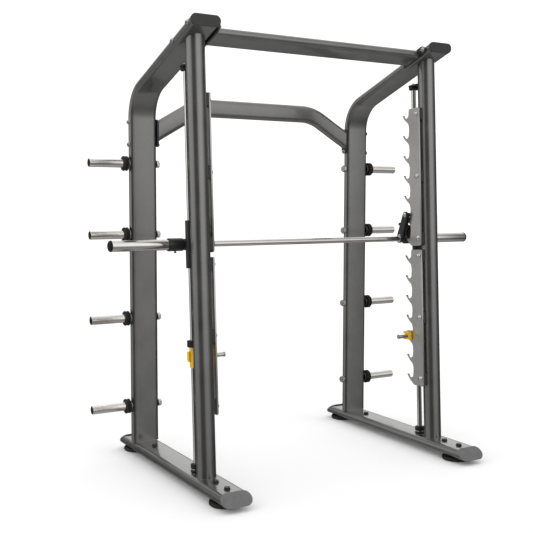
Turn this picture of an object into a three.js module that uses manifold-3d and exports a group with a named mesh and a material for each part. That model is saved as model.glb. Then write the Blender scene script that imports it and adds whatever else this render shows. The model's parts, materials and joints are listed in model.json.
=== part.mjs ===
// A smith machine: two leaning guide frames joined by two cross beams, a bar that slides on guide rods,
// hook levers that latch it on notched racks, safety stops on the same rods and pegs for weight plates.
// Millimetres, +Z up, +Y towards the rear uprights, origin on the floor at the middle of the base.
import * as THREE from "three";
import { mergeVertices } from "three/addons/utils/BufferGeometryUtils.js";
import Module from "manifold-3d";

const wasm = await Module();
wasm.setup();

// Driving dimensions.
const gap = 0.3; // clearance left between pieces that touch
const wall = 3; // wall of the frame tubes
const past = 9; // how far a cutting tool runs past the faces that it cuts

const frameHalf = 672; // middle of the machine to the middle of each side frame
const tubeWide = 146; // flat-oval frame tube, across
const tubeThick = 46; // flat-oval frame tube, through
const baseThick = 47;
const baseUnderside = 25.5; // ground clearance of the base rails
const baseTop = baseUnderside + baseThick;
const baseHalf = 573; // base rail, middle to each end at mid height
const baseMitre = THREE.MathUtils.degToRad(45);
const baseCapWide = 152;
const baseCapTall = 76; // along its own slope
const armCapLip = 1;
const endCapLong = 6;

const footRadius = 71;
const footStemRadius = 24;
const footDisc = 22; // height of the disc
const footFront = -472;
const footRear = 518;

const rearY = 418.5; // rear upright
const kneeZ = 1853; // where the centre lines of rear upright and arm cross
const armRise = THREE.MathUtils.degToRad(19.37);
const armLong = 761; // knee to the middle of the arm's end
const armEndTilt = THREE.MathUtils.degToRad(5); // the arm's end face leans forward at its top by this much
const bendRadius = 170;
const bendSteps = 8;

const uprightY = -296; // foot of the front upright's axis
const lean = THREE.MathUtils.degToRad(2.866); // front uprights, rods and racks lean back
const uprightRadius = 44.5;

// Everything on a front upright is placed in its leaning frame: y behind the axis, z along it from the floor.
const rodY = 102;
const rodRadius = 12.5;
const rodBore = 13.2;
const rodFlangeRadius = 27; // on the base, round the rod's foot
const rodFlangeThick = 5;
const rodCollarRadius = 21;
const rodCollarTall = 12; // above the base
const lowerBumperRadius = 26;
const lowerBumperLong = 22;
const upperBumperRadius = 25;
const upperBumperLong = 16.5;
const bracketZ = 1936;
const bracketThick = 8;
const bracketHalf = 25; // half width at the upright
const bracketNose = 27; // radius round the rod

const rackInner = 66; // from the upright's axis towards the middle of the machine
const rackThick = 8;
const rackFront = -11;
const rackRear = 68;
const rackLong = 721;
const hookPitch = 106;
const hooksPerRack = 7;
const topHookZ = 1780;
const hookToTop = 30; // top hook's tip to the top of its rack
const rackTops = [0, 1].map((i) => topHookZ + hookToTop - i * hooksPerRack * hookPitch);
const slotY = 89.5;
const slotRadius = 19.5;
const slotRise = 2.5; // centre of a hook's seat above the hook's tip
const hookReach = 119.5;
const rackBoltsDown = [33, 358, 681]; // from the top of a rack
const standoffFront = -15;
const standoffRear = 30;
const standoffTall = 62;

const barY = 141;
const barZ = 1127.5;
const barRadius = 14;
const barHalf = 1042;
const barCapLong = 14;
const sleeveRadius = 25;
const sleeveStart = 96; // outwards from the side frame
const collarRadius = 30;
const collarStart = 24;
const housingRadius = 22.5;
const housingLong = 220;
const bushRadius = 18;
const bossRadius = 27;
const bossInner = 54; // from the side frame towards the middle
const guardRadius = 33; // round guard on the inner side of the carriage
const guardThick = 7;
const guardNeck = 12;
const guardRise = 40; // above the bar

const pinY = 89; // latch pin
const pinZ = 1254;
const pinRadius = 10.5;
const leverInner = 88;
const leverThick = 11;
const leverHalf = 17; // radius of its pin end
const hubRadius = 22;

const stopBottom = 558;
const stopLong = 95;
const stopRadius = 18.5;
const padLong = 32;
const padRadius = 28;
const stopPinZ = 608.5;
const stopBlockGap = 3; // between a rack and the block on its inner face
const stopBlockThick = 24;
const stopLug = 28; // from the rod's axis to the lug's outer face
const knobRadius = 10;
const knobRimRadius = 12;
const knobRimLong = 6;
const knobEnd = 153; // from the side frame towards the middle
const knobStem = 5;
const knobY = slotY - 7;
const knobZ = stopPinZ + 1;

const pegHeights = [1508, 1148, 720, 264.5];
const pegRadius = 21.5;
const pegLong = 213;
const pegWasherRadius = 25;
const pegBumperRadius = 38;
const pegBumperEnd = 35; // from the upright

const midBeamTall = 94;
const midBeamThick = 46;
const midBeamTop = 1855; // top of its level run
const midBeamSlope = THREE.MathUtils.degToRad(30);
const midBendX = 361;
const midBendRadius = 250;
const midFlangeZ = 1666;
const midFlangeTall = 140;
const topBeamWide = 119;
const topBeamThick = 44;
const topBeamY = -178;
const topFlangeLong = 188;
const topFlangeShift = 9.5; // up the arm from the beam's middle
const flangeThick = 10;
const flangeWide = 46;

// The front uprights run from the base rails to the underside of the arms, and their ends lie flat there.
const armUnderside = kneeZ - (tubeThick / 2 + gap) / Math.cos(armRise); // at the rear upright
const leanToArm = Math.cos(lean) + Math.tan(armRise) * Math.sin(lean);
const uprightTop = (armUnderside - Math.tan(armRise) * (uprightY - rearY)) / leanToArm;
const uprightTopSlope = Math.tan(lean - armRise);
const uprightFoot = (baseTop + gap) / Math.cos(lean);
const uprightFootSlope = Math.tan(lean);

// Colours and finishes.
const finishes = {
  powder: { color: 0x5c5c5a, roughness: 0.45, metalness: 0.3 },
  cap: { color: 0x2e2e2e, roughness: 0.6, metalness: 0 },
  black: { color: 0x1f1f20, roughness: 0.5, metalness: 0.2 },
  rubber: { color: 0x141414, roughness: 0.85, metalness: 0 },
  steel: { color: 0x9b9895, roughness: 0.35, metalness: 0.9 },
  chrome: { color: 0xc8c4c0, roughness: 0.12, metalness: 1 },
  yellow: { color: 0xd19a1c, roughness: 0.45, metalness: 0.1 },
};

// Booleans.
function solidOf(geometry) {
  const bare = geometry.clone();
  bare.deleteAttribute("normal");
  bare.deleteAttribute("uv");
  const merged = mergeVertices(bare, 1e-4);
  const vertProperties = merged.getAttribute("position").array;
  const triVerts = new Uint32Array(merged.index.array);
  return new wasm.Manifold(new wasm.Mesh({ numProp: 3, vertProperties, triVerts }));
}

function geometryOf(solid) {
  const mesh = solid.getMesh();
  const geometry = new THREE.BufferGeometry();
  geometry.setAttribute("position", new THREE.BufferAttribute(mesh.vertProperties, 3));
  geometry.setIndex(new THREE.BufferAttribute(mesh.triVerts, 1));
  return geometry;
}

function join(...geometries) {
  return geometryOf(geometries.map(solidOf).reduce((a, b) => a.add(b)));
}

function cut(geometry, ...tools) {
  return geometryOf(tools.map(solidOf).reduce((a, b) => a.subtract(b), solidOf(geometry)));
}

// Shapes.
function flatOvalPath(path, width, height) {
  const r = height / 2;
  const run = width / 2 - r;
  path.moveTo(-run, -r);
  path.lineTo(run, -r);
  path.absarc(run, 0, r, -Math.PI / 2, Math.PI / 2);
  path.lineTo(-run, r);
  path.absarc(-run, 0, r, Math.PI / 2, Math.PI * 1.5);
  return path;
}

function flatOval(width, height) {
  return flatOvalPath(new THREE.Shape(), width, height);
}

function flatOvalTube(width, height) {
  const shape = flatOval(width, height);
  shape.holes.push(flatOvalPath(new THREE.Path(), width - 2 * wall, height - 2 * wall));
  return shape;
}

function roundTube(radius, bore) {
  const shape = new THREE.Shape().absarc(0, 0, radius, 0, Math.PI * 2);
  if (bore) shape.holes.push(new THREE.Path().absarc(0, 0, bore, 0, Math.PI * 2));
  return shape;
}

function rectangle(x0, y0, x1, y1) {
  return new THREE.Shape([
    new THREE.Vector2(x0, y0),
    new THREE.Vector2(x1, y0),
    new THREE.Vector2(x1, y1),
    new THREE.Vector2(x0, y1),
  ]);
}

// Extrudes a shape along z from low to high; each end may slope with y.
function prism(shape, low, high, lowSlope = 0, highSlope = 0, curveSegments = 4) {
  const geometry = new THREE.ExtrudeGeometry(shape, { depth: 1, bevelEnabled: false, curveSegments });
  const at = geometry.getAttribute("position");
  for (let i = 0; i < at.count; i += 1) {
    const y = at.getY(i);
    at.setZ(i, at.getZ(i) < 0.5 ? low + lowSlope * y : high + highSlope * y);
  }
  return geometry;
}

// Extrudes a shape drawn in the y-z plane along x, from x0 to x1.
function plateAcross(shape, x0, x1, curveSegments = 4) {
  const geometry = prism(shape, x0, x1, 0, 0, curveSegments);
  const at = geometry.getAttribute("position");
  for (let i = 0; i < at.count; i += 1) {
    at.setXYZ(i, at.getZ(i), at.getX(i), at.getY(i));
  }
  return geometry;
}

// A round bar along x, centred on (y, z).
function barAcross(radius, x0, x1, y, z, bore = 0, segments = 8) {
  return plateAcross(roundTube(radius, bore), x0, x1, segments).translate(0, y, z);
}

function block(x0, x1, y0, y1, z0, z1) {
  const box = new THREE.BoxGeometry(x1 - x0, y1 - y0, z1 - z0);
  return box.translate((x0 + x1) / 2, (y0 + y1) / 2, (z0 + z1) / 2);
}

// Turns a profile of [radius, height] points about z.
function turned(profile, segments = 16) {
  const points = profile.map(([radius, height]) => new THREE.Vector2(radius, height));
  return new THREE.LatheGeometry(points, segments).rotateX(Math.PI / 2);
}

// A path of stations, each a point and a direction, that an extruded shape visits one by one.
class StationPath extends THREE.Curve {
  constructor(stations) {
    super();
    this.stations = stations;
  }
  station(t) {
    return this.stations[Math.round(t * (this.stations.length - 1))];
  }
  getPointAt(t, target = new THREE.Vector3()) {
    return target.copy(this.station(t).point);
  }
  getTangentAt(t, target = new THREE.Vector3()) {
    return target.copy(this.station(t).along);
  }
}

// Stations of a path that runs straight to a corner, turns it on an arc and runs straight again.
function bendStations(corner, before, after, radius, steps) {
  const turn = before.angleTo(after);
  const reach = radius * Math.tan(turn / 2);
  const axis = before.clone().cross(after).normalize();
  const start = corner.clone().addScaledVector(before, -reach);
  const inward = axis.clone().cross(before);
  const centre = start.clone().addScaledVector(inward, radius);
  return Array.from({ length: steps + 1 }, (_, i) => {
    const angle = (turn * i) / steps;
    const arm = inward.clone().negate().applyAxisAngle(axis, angle);
    return {
      point: centre.clone().addScaledVector(arm, radius),
      along: before.clone().applyAxisAngle(axis, angle),
    };
  });
}

function alongStations(shape, stations, curveSegments = 4) {
  return new THREE.ExtrudeGeometry(shape, {
    steps: stations.length - 1,
    extrudePath: new StationPath(stations),
    curveSegments,
  });
}

const machine = new THREE.Group();

function piece(parent, name, geometry, finish) {
  const mesh = new THREE.Mesh(geometry, new THREE.MeshStandardMaterial(finishes[finish]));
  mesh.name = name;
  parent.add(mesh);
  return mesh;
}

// Base: a flat-oval rail on two round feet, its ends cut at 45 degrees and capped.
function addBase(side, tag) {
  const slope = Math.tan(baseMitre);
  const tube = prism(flatOvalTube(tubeWide, baseThick), -baseHalf, baseHalf, slope, -slope);
  const cap = prism(flatOval(baseCapWide, baseCapTall), gap, gap + endCapLong);
  const frontCap = cap.clone().rotateX(-baseMitre).translate(0, 0, baseHalf);
  const rearCap = cap.clone().rotateX(baseMitre - Math.PI).translate(0, 0, -baseHalf);
  const parts = [
    [`base_rail_${tag}`, tube, "powder"],
    [`base_front_cap_${tag}`, frontCap, "cap"],
    [`base_rear_cap_${tag}`, rearCap, "cap"],
  ];
  for (const [name, geometry, finish] of parts) {
    const mesh = piece(side, name, geometry, finish);
    mesh.rotation.x = Math.PI / 2;
    mesh.position.z = baseUnderside + baseThick / 2;
  }
}

// Foot: a rubber disc under a short stem.
function addFoot(side, name, y) {
  const stemTop = baseUnderside - gap;
  const profile = [
    [0, 0],
    [footRadius - 3, 0],
    [footRadius, 4],
    [footRadius, footDisc - 6],
    [footRadius - 11, footDisc],
    [footStemRadius, footDisc + 1],
    [footStemRadius, stemTop],
    [0, stemTop],
  ];
  const foot = piece(side, name, turned(profile, 20), "rubber");
  foot.position.y = y;
}

// Rear upright: rises from the base and bends forward into the arm.
function addRearUpright(side, tag) {
  const up = new THREE.Vector3(0, 0, 1);
  const forward = new THREE.Vector3(0, -Math.cos(armRise), Math.sin(armRise));
  const knee = new THREE.Vector3(0, rearY, kneeZ);
  const stations = [
    { point: new THREE.Vector3(0, rearY, baseTop + gap), along: up },
    ...bendStations(knee, up, forward, bendRadius, bendSteps),
    { point: knee.clone().addScaledVector(forward, armLong + tubeThick), along: forward },
  ];
  const section = new THREE.Shape(uprightSection(tubeWide, tubeThick));
  section.holes.push(new THREE.Path(uprightSection(tubeWide - 2 * wall, tubeThick - 2 * wall)));
  const long = alongStations(section, stations);
  const end = knee.clone().addScaledVector(forward, armLong);
  const slope = Math.tan(armEndTilt);
  const square = rectangle(-tubeWide, -tubeWide, tubeWide, tubeWide);
  const beyond = prism(square, 0, tubeWide, slope, slope);
  beyond.rotateX(Math.PI / 2);
  beyond.translate(end.x, end.y, end.z);
  piece(side, `rear_upright_${tag}`, cut(long, beyond), "powder");
  const lip = flatOval(tubeWide + 2 * armCapLip, tubeThick / Math.cos(armRise) + 2 * armCapLip);
  const cap = prism(lip, gap, gap + endCapLong, slope, slope);
  cap.rotateX(Math.PI / 2);
  cap.translate(end.x, end.y, end.z);
  piece(side, `arm_cap_${tag}`, cap, "cap");
}

// Points of a flat oval whose long axis is the section's y, which a path in the y-z plane turns to x.
function uprightSection(width, thick) {
  return flatOval(width, thick).getPoints(4).map((p) => new THREE.Vector2(-p.y, p.x));
}

// Lower and higher of two places along x, given from the side frame towards the middle of the machine.
function inwards(sign, from, to) {
  return [-sign * from, -sign * to].sort((a, b) => a - b);
}

// Front upright: a round tube from the base to the arm with the blocks that hold the racks off it.
function addFrontUpright(leaning, tag, sign) {
  const round = roundTube(uprightRadius);
  const solidTube = prism(round, uprightFoot, uprightTop, uprightFootSlope, uprightTopSlope, 10);
  const half = standoffTall / 2;
  const near = Math.sqrt(uprightRadius ** 2 - standoffRear ** 2) - wall / 2;
  const [x0, x1] = inwards(sign, rackInner - rackThick - gap, near);
  const heights = rackTops.flatMap((top) => rackBoltsDown.map((down) => top - down));
  const blocks = heights.map((z) => block(x0, x1, standoffFront, standoffRear, z - half, z + half));
  const inside = roundTube(uprightRadius - wall);
  const bore = prism(inside, uprightFoot - past, uprightTop + 2 * uprightRadius, 0, 0, 10);
  piece(leaning, `front_upright_${tag}`, cut(join(solidTube, ...blocks), bore), "powder");
}

// Guide rod between a flange on the base and a bracket on the front upright, with a bumper at each end.
function addGuideRod(leaning, tag) {
  const slope = uprightFootSlope;
  const foot = uprightFoot + rodY * slope;
  const flangeTop = foot + rodFlangeThick;
  const collarTop = foot + rodCollarTall;
  const rodTop = bracketZ - gap;
  const low = ringProfile(lowerBumperRadius, rodBore, collarTop + gap, collarTop + gap + lowerBumperLong, 3);
  const high = ringProfile(upperBumperRadius, rodBore, rodTop - upperBumperLong, rodTop, 3);
  const flange = prism(roundTube(rodFlangeRadius, rodBore), foot, flangeTop, slope, slope, 8);
  const collar = prism(roundTube(rodCollarRadius, rodBore), foot + gap, collarTop, slope, 0, 8);
  const parts = [
    [`guide_rod_${tag}`, prism(roundTube(rodRadius), foot, rodTop, slope, 0, 8), "chrome"],
    [`rod_flange_${tag}`, join(flange, collar), "steel"],
    [`lower_bumper_${tag}`, turned(low), "rubber"],
    [`upper_bumper_${tag}`, turned(high), "rubber"],
  ];
  for (const [name, geometry, finish] of parts) {
    piece(leaning, name, geometry, finish).position.y = rodY;
  }
  const ear = new THREE.Shape();
  ear.moveTo(-bracketHalf, 20);
  ear.lineTo(bracketHalf, 20);
  ear.lineTo(bracketNose, rodY);
  ear.absarc(0, rodY, bracketNose, 0, Math.PI);
  const plate = prism(ear, bracketZ, bracketZ + bracketThick);
  const around = roundTube(uprightRadius + gap);
  const clear = prism(around, bracketZ - past, bracketZ + bracketThick + past, 0, 0, 10);
  piece(leaning, `rod_bracket_${tag}`, cut(plate, clear), "black");
}

// Profile of a ring about z with chamfered outer edges.
function ringProfile(radius, bore, low, high, chamfer) {
  return [
    [bore, low],
    [radius - chamfer, low],
    [radius, low + chamfer],
    [radius, high - chamfer],
    [radius - chamfer, high],
    [bore, high],
    [bore, low],
  ];
}

// Rack: a plate with upward hooks along its rear edge.
function rackShape(top) {
  const bottom = top - rackLong;
  const lastTip = top - hookToTop - (hooksPerRack - 1) * hookPitch;
  const shape = new THREE.Shape();
  shape.moveTo(rackFront, bottom + 10);
  shape.lineTo(rackFront + 10, bottom);
  shape.lineTo(rackRear - 8, bottom);
  for (let hook = 0; hook < hooksPerRack; hook += 1) {
    const tip = lastTip + hook * hookPitch;
    if (hook > 0) {
      shape.lineTo(rackRear, tip - 72);
    }
    shape.quadraticCurveTo(rackRear + 1, tip - 53, rackRear + 11, tip - 43);
    shape.quadraticCurveTo(hookReach - 13.5, tip - 24, hookReach, tip - 1);
    shape.lineTo(hookReach - 2, tip);
    shape.lineTo(slotY + slotRadius, tip - 1);
    shape.absarc(slotY, tip + slotRise, slotRadius, -0.18, -Math.PI, true);
    shape.quadraticCurveTo(slotY - slotRadius, tip + 16, rackRear, tip + 20);
  }
  shape.lineTo(rackRear, top - 4);
  shape.lineTo(rackRear - 4, top);
  shape.lineTo(rackFront + 5, top);
  shape.lineTo(rackFront, top - 5);
  return shape;
}

function addRacks(leaning, tag, sign) {
  const names = ["upper", "lower"];
  rackTops.forEach((top, i) => {
    const [x0, x1] = inwards(sign, rackInner, rackInner - rackThick);
    piece(leaning, `${names[i]}_rack_${tag}`, plateAcross(rackShape(top), x0, x1, 3), "steel");
  });
}

// Carriage: a housing on the guide rod with a boss that carries the bar, a round guard on a neck above it,
// and the bush that runs on the rod.
function addCarriage(leaning, tag, sign) {
  const low = barZ - housingLong / 2;
  const high = barZ + housingLong / 2;
  const housing = prism(roundTube(housingRadius), low, high, 0, 0, 8).translate(0, rodY, 0);
  const [x0, x1] = inwards(sign, bossInner, gap - collarStart);
  const boss = barAcross(bossRadius, x0, x1, barY, barZ);
  const [g0, g1] = inwards(sign, bossInner, bossInner - guardThick);
  const guard = barAcross(guardRadius, g0, g1, rodY, barZ + guardRise);
  const [n0, n1] = inwards(sign, bossInner - guardThick / 2, housingRadius * 0.6);
  const neck = barAcross(guardNeck, n0, n1, rodY, barZ + guardRise);
  const bushHole = prism(roundTube(bushRadius + gap), low - past, high + past, 0, 0, 8).translate(0, rodY, 0);
  const barHole = barAcross(barRadius + 0.8, x0 - past, x1 + past, barY, barZ);
  const bush = prism(roundTube(bushRadius, rodBore), low + 2, high - 2, 0, 0, 8);
  piece(leaning, `carriage_${tag}`, cut(join(housing, boss, guard, neck), bushHole, barHole), "black");
  piece(leaning, `linear_bush_${tag}`, bush, "steel").position.y = rodY;
}

// Hook lever: a flat bar clamped on the bar by its hub, with the latch pin at its tip.
function addHookLever(leaning, tag, sign) {
  const shape = new THREE.Shape();
  const angle = new THREE.Vector2(pinY - barY, pinZ - barZ).angle();
  shape.absarc(pinY, pinZ, leverHalf, angle - Math.PI / 2, angle + Math.PI / 2);
  shape.absarc(barY, barZ, hubRadius, angle + Math.PI * 0.55, angle + Math.PI * 1.45);
  const [x0, x1] = inwards(sign, leverInner, leverInner - leverThick);
  const flat = plateAcross(shape, x0, x1, 8);
  const hole = barAcross(barRadius + gap, x0 - past, x1 + past, barY, barZ);
  const [p0, p1] = inwards(sign, leverInner - leverThick / 2, bossInner + 1);
  const pin = barAcross(pinRadius, p0, p1, pinY, pinZ);
  piece(leaning, `hook_lever_${tag}`, join(cut(flat, hole), pin), "black");
}

// Set collar, plate sleeve and end cap on one end of the bar.
function addBarEnd(leaning, tag, sign) {
  const sleeveNear = sleeveStart + gap;
  const sleeveFar = barHalf - frameHalf;
  const rings = [
    [`set_collar_${tag}`, collarRadius, collarStart, sleeveStart, barRadius + gap, "black"],
    [`plate_sleeve_${tag}`, sleeveRadius, sleeveNear, sleeveFar, barRadius + gap, "chrome"],
  ];
  for (const [name, radius, near, far, bore, finish] of rings) {
    const [x0, x1] = inwards(sign, -near, -far);
    piece(leaning, name, barAcross(radius, x0, x1, barY, barZ, bore), finish);
  }
  const capRadius = sleeveRadius + 1;
  const dome = [
    [0, 0],
    [capRadius, 0],
    [capRadius, 4],
    [capRadius * 0.8, 10],
    [capRadius * 0.4, barCapLong],
    [0, barCapLong],
  ];
  const cap = turned(dome).rotateY((sign * Math.PI) / 2).translate(sign * (sleeveFar + gap), barY, barZ);
  piece(leaning, `sleeve_cap_${tag}`, cap, "black");
}

// Safety stop: a sleeve on the guide rod whose cross pin rests in a rack hook, with a pad and a pull knob.
function addSafetyStop(leaning, tag, sign) {
  const stopTop = stopBottom + stopLong;
  const rackOuter = rackInner - rackThick;
  const blockNear = rackInner + stopBlockGap;
  const blockFar = blockNear + stopBlockThick;
  const sleeve = prism(roundTube(stopRadius), stopBottom, stopTop, 0, 0, 8).translate(0, rodY, 0);
  const [w0, w1] = inwards(sign, 10, rackOuter - stopBlockGap);
  const web = block(w0, w1, slotY - 12, rodY + 12, stopPinZ - 11, stopPinZ + 25);
  const [p0, p1] = inwards(sign, rackOuter - 8, rackInner + 8);
  const pin = barAcross(pinRadius, p0, p1, slotY, stopPinZ);
  const [b0, b1] = inwards(sign, blockNear, blockFar);
  const inner = block(b0, b1, slotY - 16, slotY + 24, stopPinZ - 18, stopPinZ + 24);
  const [l0, l1] = inwards(sign, -10, -stopLug);
  const lug = block(l0, l1, rodY - 9, rodY + 9, stopBottom + 30, stopBottom + 76);
  const bore = prism(roundTube(rodBore), stopBottom - past, stopTop + past, 0, 0, 8).translate(0, rodY, 0);
  const [h0, h1] = inwards(sign, blockNear + 6, blockFar + past);
  const knobHole = barAcross(knobStem + 0.5, h0, h1, knobY, knobZ, 0, 6);
  piece(leaning, `safety_stop_${tag}`, cut(join(sleeve, web, pin, inner, lug), bore, knobHole), "yellow");
  const pad = turned(ringProfile(padRadius, rodBore, stopTop + gap, stopTop + padLong, 4));
  piece(leaning, `stop_pad_${tag}`, pad, "rubber").position.y = rodY;
  const [s0, s1] = inwards(sign, blockNear + 7, blockFar + 1);
  const stem = barAcross(knobStem, s0, s1, knobY, knobZ, 0, 6);
  const [k0, k1] = inwards(sign, blockFar + gap, knobEnd - 1);
  const knob = barAcross(knobRadius, k0, k1, knobY, knobZ);
  const [r0, r1] = inwards(sign, knobEnd - knobRimLong, knobEnd);
  const rim = barAcross(knobRimRadius, r0, r1, knobY, knobZ);
  piece(leaning, `stop_knob_${tag}`, join(stem, knob, rim), "steel");
}

// Storage peg: a tube on a dished washer and a rubber bumper, plugged at its outer end.
function addPegs(side, tag, sign) {
  const profile = [
    [0, 0],
    [pegWasherRadius, 0],
    [pegWasherRadius, 6],
    [pegBumperRadius - 6, 10],
    [pegBumperRadius, 14],
    [pegBumperRadius, pegBumperEnd - 3],
    [pegBumperRadius - 3, pegBumperEnd],
    [pegRadius, pegBumperEnd],
    [pegRadius, pegLong - 2],
    [pegRadius - 2, pegLong],
    [0, pegLong],
  ];
  pegHeights.forEach((z, i) => {
    const geometry = turned(profile).rotateY(sign * Math.PI / 2);
    const peg = piece(side, `plate_peg_${tag}_${i + 1}`, geometry, "steel");
    peg.position.set(sign * (tubeWide / 2 + gap), rearY, z);
  });
}

for (const [tag, sign] of [["left", -1], ["right", 1]]) {
  const side = new THREE.Group();
  side.position.x = sign * frameHalf;
  machine.add(side);
  addBase(side, tag);
  addFoot(side, `front_foot_${tag}`, footFront);
  addFoot(side, `rear_foot_${tag}`, footRear);
  addRearUpright(side, tag);
  addPegs(side, tag, sign);
  const leaning = new THREE.Group();
  leaning.position.y = uprightY;
  leaning.rotation.x = -lean;
  side.add(leaning);
  addFrontUpright(leaning, tag, sign);
  addGuideRod(leaning, tag);
  addRacks(leaning, tag, sign);
  addCarriage(leaning, tag, sign);
  addHookLever(leaning, tag, sign);
  addBarEnd(leaning, tag, sign);
  addSafetyStop(leaning, tag, sign);
}

// The bar runs through both carriages from sleeve cap to sleeve cap.
const barFrame = new THREE.Group();
barFrame.position.y = uprightY;
barFrame.rotation.x = -lean;
machine.add(barFrame);
piece(barFrame, "bar", barAcross(barRadius, -barHalf + gap, barHalf - gap, barY, barZ), "chrome");

// Where the cross beams' flanges meet the side frames, and where the tubes end inside them.
const flangeFace = frameHalf - tubeWide / 2 - gap;
const beamEnd = flangeFace - flangeThick / 2;

// Flange: an obround plate across x whose long axis is z. sign is -1 for the left end, 1 for the right.
function flangePlate(sign, tall) {
  const [x0, x1] = inwards(sign, -flangeFace, flangeThick - flangeFace);
  return plateAcross(new THREE.Shape(uprightSection(tall, flangeWide)), x0, x1);
}

// Middle cross beam: level in the middle, sloping down to a flange on each rear upright.
function addMidBeam() {
  const z = midBeamTop - midBeamTall / 2;
  const level = new THREE.Vector3(1, 0, 0);
  const rising = new THREE.Vector3(Math.cos(midBeamSlope), 0, Math.sin(midBeamSlope));
  const falling = new THREE.Vector3(rising.x, 0, -rising.z);
  const runOut = flangeFace + midBeamTall; // the tube is made this long and then cut off
  const drop = (runOut - midBendX) * Math.tan(midBeamSlope);
  const stations = [
    { point: new THREE.Vector3(-runOut, 0, z - drop), along: rising },
    ...bendStations(new THREE.Vector3(-midBendX, 0, z), rising, level, midBendRadius, 4),
    ...bendStations(new THREE.Vector3(midBendX, 0, z), level, falling, midBendRadius, 4),
    { point: new THREE.Vector3(runOut, 0, z - drop), along: falling },
  ];
  const section = new THREE.Shape(uprightSection(midBeamTall, midBeamThick));
  const beam = alongStations(section, stations);
  const ends = [-1, 1].map((sign) => {
    const [x0, x1] = inwards(sign, -beamEnd, -2 * runOut);
    return block(x0, x1, -midBeamThick, midBeamThick, 0, midBeamTop);
  });
  const flanges = [-1, 1].map((sign) => flangePlate(sign, midFlangeTall).translate(0, 0, midFlangeZ));
  piece(machine, "middle_cross_beam", join(cut(beam, ...ends), ...flanges), "powder").position.y = rearY;
}

// Top cross beam: a straight flat-oval tube between the arms, turned to lie along them.
function addTopBeam() {
  const beam = plateAcross(flatOval(topBeamWide, topBeamThick), -beamEnd, beamEnd);
  const flanges = [-1, 1].map((sign) => {
    const plate = flangePlate(sign, topFlangeLong).rotateX(Math.PI / 2);
    return plate.translate(0, -topFlangeShift, 0);
  });
  const mesh = piece(machine, "top_cross_beam", join(beam, ...flanges), "powder");
  mesh.rotation.x = -armRise;
  mesh.position.set(0, topBeamY, kneeZ + Math.tan(armRise) * (rearY - topBeamY));
}

addMidBeam();
addTopBeam();

export default machine;
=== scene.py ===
"""A smith machine's finished surfaces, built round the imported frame.

Shapes are drawn in millimetres. Most pieces of a side are placed in that side's own frame, with x from the
middle of the side. Pieces on the front upright are placed in its leaning frame, whose z runs along it. Most are
drawn for the right side, with x positive outwards and negative towards the middle of the machine.
"""

import json
import math

import bmesh
import bpy
from mathutils import Matrix, Vector


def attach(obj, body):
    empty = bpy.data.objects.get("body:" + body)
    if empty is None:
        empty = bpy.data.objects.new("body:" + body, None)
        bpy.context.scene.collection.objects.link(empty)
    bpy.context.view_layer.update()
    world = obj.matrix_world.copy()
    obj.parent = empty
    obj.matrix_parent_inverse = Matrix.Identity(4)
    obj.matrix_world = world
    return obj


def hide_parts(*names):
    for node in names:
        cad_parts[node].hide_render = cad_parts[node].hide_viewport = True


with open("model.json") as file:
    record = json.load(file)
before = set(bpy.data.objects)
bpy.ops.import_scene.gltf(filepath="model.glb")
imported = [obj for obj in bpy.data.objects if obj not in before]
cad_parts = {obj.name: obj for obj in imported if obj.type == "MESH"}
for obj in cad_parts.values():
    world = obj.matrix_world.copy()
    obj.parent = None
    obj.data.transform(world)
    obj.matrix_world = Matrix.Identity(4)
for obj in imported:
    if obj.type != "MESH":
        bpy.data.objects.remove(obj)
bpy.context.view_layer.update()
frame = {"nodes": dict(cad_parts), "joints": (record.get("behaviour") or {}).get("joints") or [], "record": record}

MM = 0.001
RECORD = frame["record"]
SLOT_OF = {row["node"]: row["material_slot"] for row in RECORD["subparts"]}
BODY_OF = {node: body for body, nodes in RECORD["behaviour"]["bodies"].items() for node in nodes}
SIDES = (("left", -1), ("right", 1))


# ---------------------------------------------------------------- measures taken from the frame

def extent(node, into=Matrix()):
    """Lowest and highest corner of a CAD node, in millimetres, in the frame that the matrix leads to."""
    points = [into @ (v.co / MM) for v in frame["nodes"][node].data.vertices]
    low = Vector([min(p[i] for p in points) for i in range(3)])
    high = Vector([max(p[i] for p in points) for i in range(3)])
    return low, high


def middle(node, into=Matrix()):
    low, high = extent(node, into)
    return (low + high) / 2


TRAVEL = next(joint for joint in frame["joints"] if joint["name"] == "bar_travel")
LEAN = math.atan2(TRAVEL["axis"][1], TRAVEL["axis"][2])
TURN = Matrix.Rotation(-LEAN, 4, "X")
SIDE_X = middle("base_rail_right").x
ROD_Y = 102
UPRIGHT_Y = (middle("guide_rod_right", TURN.inverted()).y - ROD_Y) / math.cos(LEAN)
LEANING = Matrix.Translation((0, UPRIGHT_Y, 0)) @ TURN
FROM_LEANING = LEANING.inverted()


# ---------------------------------------------------------------- shapes: (points, faces) in millimetres

def loft(rings, closed=False):
    """Joins rings of equally many points into one skin, capped at its two ends unless it closes on itself."""
    count = len(rings[0])
    points = [Vector(p) for ring in rings for p in ring]
    faces = []
    last = len(rings) if closed else len(rings) - 1
    for i in range(last):
        here = i * count
        there = (i + 1) % len(rings) * count
        for j in range(count):
            k = (j + 1) % count
            faces.append((here + j, here + k, there + k, there + j))
    if not closed:
        faces.append(tuple(reversed(range(count))))
        faces.append(tuple(range(last * count, last * count + count)))
    return points, faces


def moved(shape, matrix):
    points, faces = shape
    return [matrix @ p for p in points], faces


def merged(*shapes):
    points, faces = [], []
    for some_points, some_faces in shapes:
        start = len(points)
        points += some_points
        faces += [tuple(start + i for i in face) for face in some_faces]
    return points, faces


def shift(x=0.0, y=0.0, z=0.0):
    return Matrix.Translation((x, y, z))


def mirrored(shape, sign):
    """A shape drawn for the right side, for either side."""
    return moved(shape, Matrix.Diagonal((sign, 1, 1, 1)))


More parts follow.
